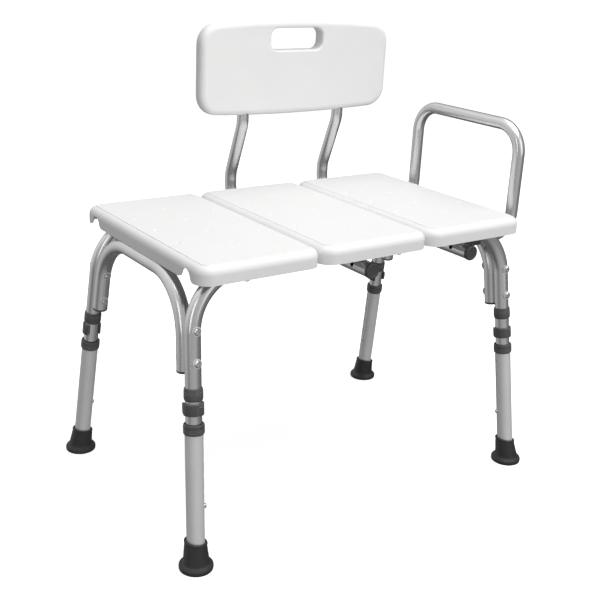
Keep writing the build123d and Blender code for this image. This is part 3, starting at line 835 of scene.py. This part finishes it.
@dataclass
class Collars(Fitting):
    """The plastic rings on each leg: one at the top of the extension, one on the frame's leg."""

    inner_radius: float = 12.8 * MM
    sleeve_radius: float = 14.35 * MM
    lower_radius: float = 16.5 * MM
    upper_radius: float = 15.0 * MM
    funnel_depth: float = 2.2 * MM
    line_depth: float = 0.3 * MM
    line_half: float = 0.45 * MM

    def scored(
        self, radius: float, heights: Sequence[float]
    ) -> list[tuple[float, float, float]]:
        """Fine lines scored round a ring.

        Args:
            radius: The ring's outside radius.
            heights: Where the lines are, from the bottom up.

        Returns:
            The outline's corners at the lines.
        """
        half, bottom = self.line_half, radius - self.line_depth
        corners = []
        for height in heights:
            corners += [(radius, height - half, 0.0), (bottom, height, 0.0),
                        (radius, height + half, 0.0)]
        return corners

    def lower_outline(self, length: float, sleeve: float) -> list[Ring]:
        """The closed outline of the ring that caps the extension.

        Args:
            length: Its length along the leg.
            sleeve: How much of it stands over the extension.

        Returns:
            Its rings, heights counted from its bottom.
        """
        r = self.lower_radius
        mouth = self.inner_radius + 1.3 * MM
        return fillet_rings([
            (self.sleeve_radius, 0.0, 0.2 * MM),
            (r - 1.5 * MM, 0.0, 0.3 * MM),
            (r, 2.2 * MM, 0.9 * MM),
            *self.scored(r, (4.6 * MM, 7.0 * MM, 9.4 * MM)),
            (r, length - 3.0 * MM, 0.6 * MM),
            (r - 0.5 * MM, length - 0.9 * MM, 0.6 * MM),
            (r - 1.3 * MM, length, 0.5 * MM),
            (mouth + 0.3 * MM, length - 0.2 * MM, 0.3 * MM),
            (mouth, length - self.funnel_depth, 0.4 * MM),
            (self.inner_radius, length - self.funnel_depth - 0.3 * MM, 0.2 * MM),
            (self.inner_radius, sleeve, 0.0),
            (self.sleeve_radius, sleeve, 0.0),
        ], steps=4)

    def upper_outline(self, length: float) -> list[Ring]:
        """The closed outline of the slightly barrelled ring on the frame's leg.

        Args:
            length: Its length along the leg.

        Returns:
            Its rings, heights counted from its bottom.
        """
        r = self.upper_radius
        return fillet_rings([
            (self.inner_radius, 0.0, 0.2 * MM),
            (r - 1.4 * MM, 0.0, 0.4 * MM),
            (r - 0.2 * MM, 2.2 * MM, 1.2 * MM),
            (r, 0.42 * length, 3.0 * MM),
            *self.scored(r - 0.1 * MM, (0.60 * length, 0.72 * length)),
            (r - 0.4 * MM, length - 2.2 * MM, 0.8 * MM),
            (r - 0.9 * MM, length - 0.3 * MM, 0.4 * MM),
            (r - 1.4 * MM, length, 0.2 * MM),
            (self.inner_radius + 0.5 * MM, length - 0.1 * MM, 0.2 * MM),
            (self.inner_radius, length - 0.9 * MM, 0.2 * MM),
        ], steps=4)

    def make_lower(self, leg: LegName) -> bpy.types.Object:
        """Model the ring at the top of a leg extension.

        Args:
            leg: The leg that it is on.

        Returns:
            The ring.
        """
        line = LegLine.of(leg)
        low, high = leg_span(line, f"lower_collar_{leg.label}")
        tube_top = leg_span(line, f"leg_extension_{leg.label}")[1]
        bench = Workbench(f"collar_lower_{leg.label}")
        bench.turn_rings(self.lower_outline(high - low, tube_top - low + 0.1 * MM), closed=True)
        ring = bench.finish(line.placement(low, ALONG_BENCH))
        self.settle(ring, "grey_plastic", f"leg_{leg.label}", f"lower_collar_{leg.label}")
        return ring

    def make_upper(self, leg: LegName) -> bpy.types.Object:
        """Model the fixed ring on a frame leg.

        Args:
            leg: The leg that it is on.

        Returns:
            The ring.
        """
        line = LegLine.of(leg)
        low, high = leg_span(line, "upper_collars", within=NEAR_LEG)
        bench = Workbench(f"collar_upper_{leg.label}")
        bench.turn_rings(self.upper_outline(high - low), closed=True)
        ring = bench.finish(line.placement(low, ALONG_BENCH))
        self.settle(ring, "grey_plastic", "frame", "upper_collars")
        return ring


def leg_span(line: LegLine, node: str, within: float = 1.0) -> tuple[float, float]:
    """How far along a leg a node reaches.

    Args:
        line: The leg's line.
        node: The node's name.
        within: Only vertices this near the line count.

    Returns:
        The lowest and the highest distance along the line.
    """
    reach = []
    for vertex in frame["nodes"][node].data.vertices:
        away = vertex.co - line.foot
        along = away.dot(line.up)
        if (away - line.up * along).length < within:
            reach.append(along)
    return min(reach), max(reach)


@dataclass
class LegClips(Fitting):
    """C-shaped clips that snap round each leg, with flared lips, and a scoop beside a seam."""

    inner_radius: float = 12.8 * MM
    radius: float = 16.0 * MM
    mouth: float = 100.0
    steps: int = 104
    scoop: tuple[float, float] = (182.0, 214.0)
    seam: tuple[float, float] = (174.0, 181.0)
    scoop_drop: float = 4.2 * MM
    seam_depth: float = 1.0 * MM
    long_lip: float = 4.6 * MM
    short_lip: float = 2.6 * MM

    @property
    def middle_radius(self) -> float:
        """Radius at half the wall's thickness."""
        return (self.inner_radius + self.radius) / 2

    def make(self, leg: LegName) -> bpy.types.Object:
        """Model one clip with its mouth facing into the bench.

        Args:
            leg: The leg that it is on.

        Returns:
            The clip.
        """
        line = LegLine.of(leg)
        low, high = leg_span(line, f"leg_clip_{leg.label}")
        height = high - low
        bench = Workbench(f"clip_{leg.label}")
        self._sweep_wall(bench, height)
        self._press_seam(bench)
        self._scoop_top(bench, height)
        self._flare_lips(bench, leg)
        bench.soften(0.45 * MM, segments=3, angle=35.0)
        clip = bench.finish(line.placement(low, Vector((0, -leg.face, 0))))
        self.settle(clip, "grey_plastic", f"clip_{leg.label}", f"leg_clip_{leg.label}")
        return clip

    def _sweep_wall(self, bench: Workbench, height: float) -> None:
        """Spin the wall's section round the leg, leaving the mouth open towards +X."""
        bpy.ops.mesh.primitive_plane_add(size=1, rotation=(pi / 2, 0, 0))
        bench.piece.name = bench.name
        bench.piece.data.name = bench.name
        bpy.ops.object.transform_apply(location=False, rotation=True, scale=True)
        bpy.ops.object.mode_set(mode="EDIT")
        bpy.ops.mesh.select_all(action="SELECT")
        wall = self.radius - self.inner_radius
        bpy.ops.transform.resize(value=(wall, 1, height), center_override=(0, 0, 0))
        bpy.ops.mesh.subdivide(number_cuts=3)
        bpy.ops.transform.translate(value=(self.middle_radius, 0, height / 2))
        bpy.ops.transform.rotate(
            value=radians(self.mouth / 2), orient_axis="Z", center_override=(0, 0, 0)
        )
        bpy.ops.mesh.spin(
            steps=self.steps, angle=radians(360 - self.mouth), center=(0, 0, 0), axis=(0, 0, 1)
        )
        bench.close_up()

    @staticmethod
    def _turn_of(spot: Vector) -> float:
        """A point's direction from the leg, in degrees from the middle of the mouth, 0 to 360."""
        return degrees(atan2(spot.y, spot.x)) % 360

    def _press_seam(self, bench: Workbench) -> None:
        """Press a narrow upright groove into the back of the clip."""
        bpy.ops.object.mode_set(mode="EDIT")

        def in_seam(face: bmesh.types.BMFace) -> bool:
            """Whether a face lies in the groove."""
            spot = face.calc_center_median()
            return (self.seam[0] < self._turn_of(spot) < self.seam[1]
                    and spot.to_2d().length > self.radius - 0.2 * MM)

        bench.choose_faces(in_seam)
        bpy.ops.mesh.inset(thickness=0.05 * MM, depth=-self.seam_depth)
        bench.close_up()

    def _scoop_top(self, bench: Workbench, height: float) -> None:
        """Slope the top edge down and outwards beside the seam, as a place for a thumb."""
        bpy.ops.object.mode_set(mode="EDIT")
        bpy.ops.mesh.select_mode(type="VERT")
        bpy.ops.mesh.select_all(action="DESELECT")
        shape = bmesh.from_edit_mesh(bench.piece.data)
        for corner in shape.verts:
            inside = self.scoop[0] < self._turn_of(corner.co) < self.scoop[1]
            outer = corner.co.to_2d().length > self.middle_radius + 0.3 * MM
            corner.select_set(inside and outer and corner.co.z > height - 0.1 * MM)
        shape.select_flush_mode()
        bmesh.update_edit_mesh(bench.piece.data)
        bpy.ops.transform.translate(value=(0, 0, -self.scoop_drop))
        bench.close_up()

    def _flare_lips(self, bench: Workbench, leg: LegName) -> None:
        """Pull both ends of the wall outwards into lips, one longer than the other."""
        bpy.ops.object.mode_set(mode="EDIT")
        for hand in (-1, 1):
            reach = self.long_lip if hand == leg.side * leg.face else self.short_lip
            self._pull_lip(bench, hand, reach)
        bench.close_up()

    def _pull_lip(self, bench: Workbench, hand: int, reach: float) -> None:
        """Extrude one end of the wall outwards in two steps, narrowing as it goes.

        Args:
            bench: The bench that holds the clip.
            hand: Which end, -1 or 1.
            reach: How far the lip stands out.
        """
        half = radians(self.mouth / 2)
        way = Vector((cos(half), hand * sin(half), 0))
        end = Vector((sin(half), -hand * cos(half), 0))

        def at_end(face: bmesh.types.BMFace) -> bool:
            """Whether a face closes this end of the wall."""
            return face.normal.dot(end) > 0.9 and face.calc_center_median().dot(way) > 0

        bench.choose_faces(at_end)
        move = (way * 0.72 + end * 0.70) * reach * 0.5
        for share in (0.4, 1.0):
            bpy.ops.mesh.extrude_region_move(TRANSFORM_OT_translate={"value": move})
            bpy.ops.transform.resize(value=(0.92, 0.92, 1 - 0.1 * share))


@dataclass
class TubePlugs(Fitting):
    """Caps pressed into the open ends of the tubes."""

    spigot_radius: float = 11.05 * MM
    sides: int = 72

    def _turn_plug(
        self, name: str, depth: float, outline: list[Ring], placement: Matrix, node: str
    ) -> bpy.types.Object:
        """Turn one plug and settle it on the frame.

        Args:
            name: The plug's name.
            depth: How far its spigot reaches into the tube.
            outline: Its rings from the spigot's inner end to the middle of the face.
            placement: From the plug's own axes to the frame's.
            node: The node that it stands for.

        Returns:
            The plug.
        """
        bench = Workbench(name)
        bench.turn_rings([(ALMOST_NONE, -depth)] + outline, sides=self.sides)
        plug = bench.finish(placement)
        self.settle(plug, "dark_plastic", "frame", node)
        return plug

    def cross_tube_plug(self, face_end: Vector, name: str) -> bpy.types.Object:
        """Model the domed cap at the front of a cross tube.

        Args:
            face_end: The middle of the tube's end.
            name: The plug's name.

        Returns:
            The plug.
        """
        depth = 14 * MM
        outline = fillet_rings([
            (self.spigot_radius, -depth, 0.3 * MM), (self.spigot_radius, -0.6 * MM, 0.2 * MM),
            (13.5 * MM, 0.0, 0.2 * MM), (13.55 * MM, 1.0 * MM, 0.3 * MM),
            (13.0 * MM, 1.5 * MM, 0.2 * MM), (13.55 * MM, 2.0 * MM, 0.3 * MM),
            (13.55 * MM, 4.2 * MM, 1.4 * MM), (12.2 * MM, 5.9 * MM, 0.8 * MM),
            (9.6 * MM, 5.9 * MM, 0.3 * MM), (9.0 * MM, 5.3 * MM, 0.3 * MM),
            (4.0 * MM, 5.2 * MM, 0.5 * MM), (ALMOST_NONE, 5.2 * MM, 0.0),
        ], steps=4)
        forward = Matrix.Translation(face_end) @ Matrix.Rotation(pi / 2, 4, "X")
        return self._turn_plug(name, depth, outline, forward, "cross_tube_plugs")

    def brace_plug(self, end: Vector, down: Vector, name: str) -> bpy.types.Object:
        """Model the flat cap at the lower end of a brace.

        Args:
            end: The middle of the brace's end.
            down: The way that the end faces.
            name: The plug's name.

        Returns:
            The plug.
        """
        depth = 10 * MM
        outline = fillet_rings([
            (self.spigot_radius, -depth, 0.3 * MM), (self.spigot_radius, -0.4 * MM, 0.2 * MM),
            (12.9 * MM, 0.0, 0.2 * MM), (12.95 * MM, 2.4 * MM, 0.8 * MM),
            (11.7 * MM, 3.9 * MM, 0.7 * MM), (5.0 * MM, 3.9 * MM, 0.8 * MM),
            (3.8 * MM, 3.2 * MM, 0.5 * MM), (ALMOST_NONE, 3.2 * MM, 0.0),
        ], steps=4)
        turn = down.to_track_quat("Z", "Y").to_matrix().to_4x4()
        place = Matrix.Translation(end) @ turn
        return self._turn_plug(name, depth, outline, place, "brace_end_plugs")

    def make_all(self) -> None:
        """Model the plugs of both cross tubes and of both end braces."""
        for hand in ("left", "right"):
            low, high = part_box(f"cross_tube_{hand}")
            front = Vector(((low.x + high.x) / 2, low.y, (low.z + high.z) / 2))
            self.cross_tube_plug(front, f"plug_cross_tube_{hand}")
        for leg in LegName:
            line = LegLine.of(leg)
            hand = "left" if leg.side < 0 else "right"
            end = self._brace_end(leg, frame["nodes"][f"{hand}_end_brace"], line.up)
            self.brace_plug(end, -line.up, f"plug_brace_{leg.label}")

    @staticmethod
    def _brace_end(leg: LegName, brace: bpy.types.Object, up: Vector) -> Vector:
        """Centre of the lowest ring of a brace, on a leg's side of it.

        Args:
            leg: The leg beside that end.
            brace: The brace's node.
            up: The leg's direction.

        Returns:
            The middle of the end's opening.
        """
        on_side = [v.co for v in brace.data.vertices if v.co.y * leg.face > 0]
        lowest = min(point.dot(up) for point in on_side)
        ring = [point for point in on_side if point.dot(up) < lowest + 0.05 * MM]
        low = Vector([min(point[i] for point in ring) for i in range(3)])
        high = Vector([max(point[i] for point in ring) for i in range(3)])
        return (low + high) / 2


# ---- Studio ---------------------------------------------------------------------------------


@dataclass(frozen=True)
class SoftPanel:
    """A large soft light: where it hangs, how wide and tall it is, and its power."""

    name: str
    place: tuple[float, float, float]
    size: tuple[float, float]
    power: float


@dataclass(frozen=True)
class SkyLobe:
    """A broad glow in the surroundings: its direction, how far it spreads, and how strong it is.

    It lights matt surfaces with one strength and shows in glossy ones with another.
    """

    way: tuple[float, float, float]
    edge: float
    lighting: float
    mirrored: float


@dataclass
class Studio:
    """A pale floor, a bright backdrop, and soft lights above, at the front and at the left."""

    floor_half: float = 30.0
    floor_glow: float = 0.6
    target: Vector = field(default_factory=lambda: Vector((0.02, 0.0, 0.38)))
    ambient: float = 0.14
    panels: tuple[SoftPanel, ...] = (
        SoftPanel("light_overhead", (0.4, -0.5, 3.0), (2.6, 2.2), 60.0),
        SoftPanel("light_front", (0.9, -2.4, 1.3), (1.5, 2.2), 9.5),
        SoftPanel("light_left_strip", (-2.6, -1.2, 1.2), (0.5, 2.0), 7.0),
    )
    lobes: tuple[SkyLobe, ...] = (
        SkyLobe((0.1, -0.3, 0.95), 0.2, 0.55, 0.55),
        SkyLobe((0.6, -0.8, 0.0), 0.45, 0.42, 0.12),
        SkyLobe((-0.45, -0.85, -0.3), 0.5, 0.36, 0.36),
        SkyLobe((-0.5, 0.7, 0.5), 0.25, 0.0, 0.8),
    )

    def build(self) -> None:
        """Make the floor, the world and the lights."""
        self._floor()
        self._world()
        for panel in self.panels:
            self._light(panel)
        bpy.context.scene.view_settings.view_transform = "Standard"
        log.info("studio: %d lights", len(self.panels))

    def _floor(self) -> None:
        """A wide pale floor that shows soft contact shadows."""
        bpy.ops.object.select_all(action="DESELECT")
        bpy.ops.mesh.primitive_plane_add(size=2 * self.floor_half, location=(0, 0, 0))
        floor = bpy.context.view_layer.objects.active
        floor.name = "studio_floor"
        floor.visible_glossy = False
        floor.visible_diffuse = False
        material = bpy.data.materials.new("studio_floor")
        material.use_nodes = True
        wiring = Wiring(material.node_tree)
        shader = material.node_tree.nodes["Principled BSDF"]
        place = wiring.add("ShaderNodeTexCoord").outputs["Object"]
        cloud = wiring.add("ShaderNodeTexNoise", Scale=1.5, Detail=2.0)
        wiring.join(place, cloud.inputs["Vector"])
        wiring.join(
            wiring.blend(cloud.outputs["Fac"], (0.90, 0.90, 0.90), (0.915, 0.915, 0.915)),
            shader.inputs["Base Color"],
        )
        shader.inputs["Roughness"].default_value = 0.9
        shader.inputs["Emission Color"].default_value = WHITE
        shader.inputs["Emission Strength"].default_value = self.floor_glow
        floor.data.materials.append(material)

    def _world(self) -> None:
        """White behind the object; darker, with broad glows, in what lights its surfaces."""
        world = bpy.data.worlds.new("studio")
        bpy.context.scene.world = world
        world.use_nodes = True
        tree = world.node_tree
        tree.nodes.clear()
        wiring = Wiring(tree)
        way = wiring.add("ShaderNodeTexCoord").outputs["Generated"]
        lit: object = self.ambient
        mirrored: object = self.ambient
        for lobe in self.lobes:
            aim = wiring.add("ShaderNodeVectorMath", operation="DOT_PRODUCT")
            wiring.join(way, aim.inputs[0])
            aim.inputs[1].default_value = Vector(lobe.way).normalized()
            glow = wiring.spread(aim.outputs["Value"], lobe.edge, 1.0, 0.0, 1.0)
            lit = wiring.arithmetic("MULTIPLY_ADD", glow, lobe.lighting, lit)
            mirrored = wiring.arithmetic("MULTIPLY_ADD", glow, lobe.mirrored, mirrored)
        path = wiring.add("ShaderNodeLightPath")
        extra = wiring.arithmetic("SUBTRACT", mirrored, lit)
        total = wiring.arithmetic("MULTIPLY_ADD", extra, path.outputs["Is Glossy Ray"], lit)
        seen = wiring.add("ShaderNodeBackground", Strength=1.0, Color=WHITE)
        unseen = wiring.add("ShaderNodeBackground", Color=WHITE)
        wiring.join(total, unseen.inputs["Strength"])
        choose = wiring.add("ShaderNodeMixShader")
        wiring.join(path.outputs["Is Camera Ray"], choose.inputs[0])
        wiring.join(unseen.outputs[0], choose.inputs[1])
        wiring.join(seen.outputs[0], choose.inputs[2])
        wiring.join(choose.outputs[0], wiring.add("ShaderNodeOutputWorld").inputs["Surface"])

    def _light(self, panel: SoftPanel) -> None:
        """Hang one soft light, aimed at the middle of the bench."""
        data = bpy.data.lights.new(panel.name, "AREA")
        data.shape = "RECTANGLE"
        data.size, data.size_y = panel.size
        data.energy = panel.power
        lamp = bpy.data.objects.new(panel.name, data)
        bpy.context.scene.collection.objects.link(lamp)
        lamp.location = panel.place
        aim = self.target - Vector(panel.place)
        lamp.rotation_euler = aim.to_track_quat("-Z", "Y").to_euler()


@dataclass(frozen=True)
class ProductCamera:
    """The camera: at the front left, above the seat, looking down at the bench.

    Lengths are in metres, angles in degrees, and the lens and its film width in millimetres.
    """

    place: tuple[float, float, float] = (-0.9947, -1.3598, 0.9228)
    yaw: float = 35.5
    pitch: float = 19.65
    roll: float = 2.73
    lens: float = 60.42
    film_width: float = 36.0
    shift: float = 0.0054

    def build(self) -> None:
        """Make the camera and look through it."""
        yaw, pitch, roll = radians(self.yaw), radians(self.pitch), radians(self.roll)
        forward = Vector((sin(yaw) * cos(pitch), cos(yaw) * cos(pitch), -sin(pitch)))
        level = Vector((cos(yaw), -sin(yaw), 0))
        upright = level.cross(forward)
        right = level * cos(roll) + upright * sin(roll)
        up = upright * cos(roll) - level * sin(roll)
        data = bpy.data.cameras.new("camera")
        data.lens = self.lens
        data.sensor_width = self.film_width
        data.shift_x = self.shift
        data.clip_start, data.clip_end = 0.05, 100.0
        camera = bpy.data.objects.new("camera", data)
        turn = Matrix((right, up, -forward)).transposed()
        camera.matrix_world = Matrix.Translation(self.place) @ turn.to_4x4()
        bpy.context.scene.collection.objects.link(camera)
        bpy.context.scene.camera = camera


def main() -> None:
    """Dress the frame, model the moulded fittings, and light the studio."""
    logging.basicConfig(level=logging.INFO, format="%(message)s")
    ProductCamera().build()
    finishes = Finishes()
    finishes.dress_nodes()
    feet = RubberFeet(finishes)
    collars = Collars(finishes)
    clips = LegClips(finishes)
    for leg in LegName:
        feet.make(leg)
        collars.make_lower(leg)
        collars.make_upper(leg)
        clips.make(leg)
    TubePlugs(finishes).make_all()
    Studio().build()


if __name__ == "__main__":
    main()
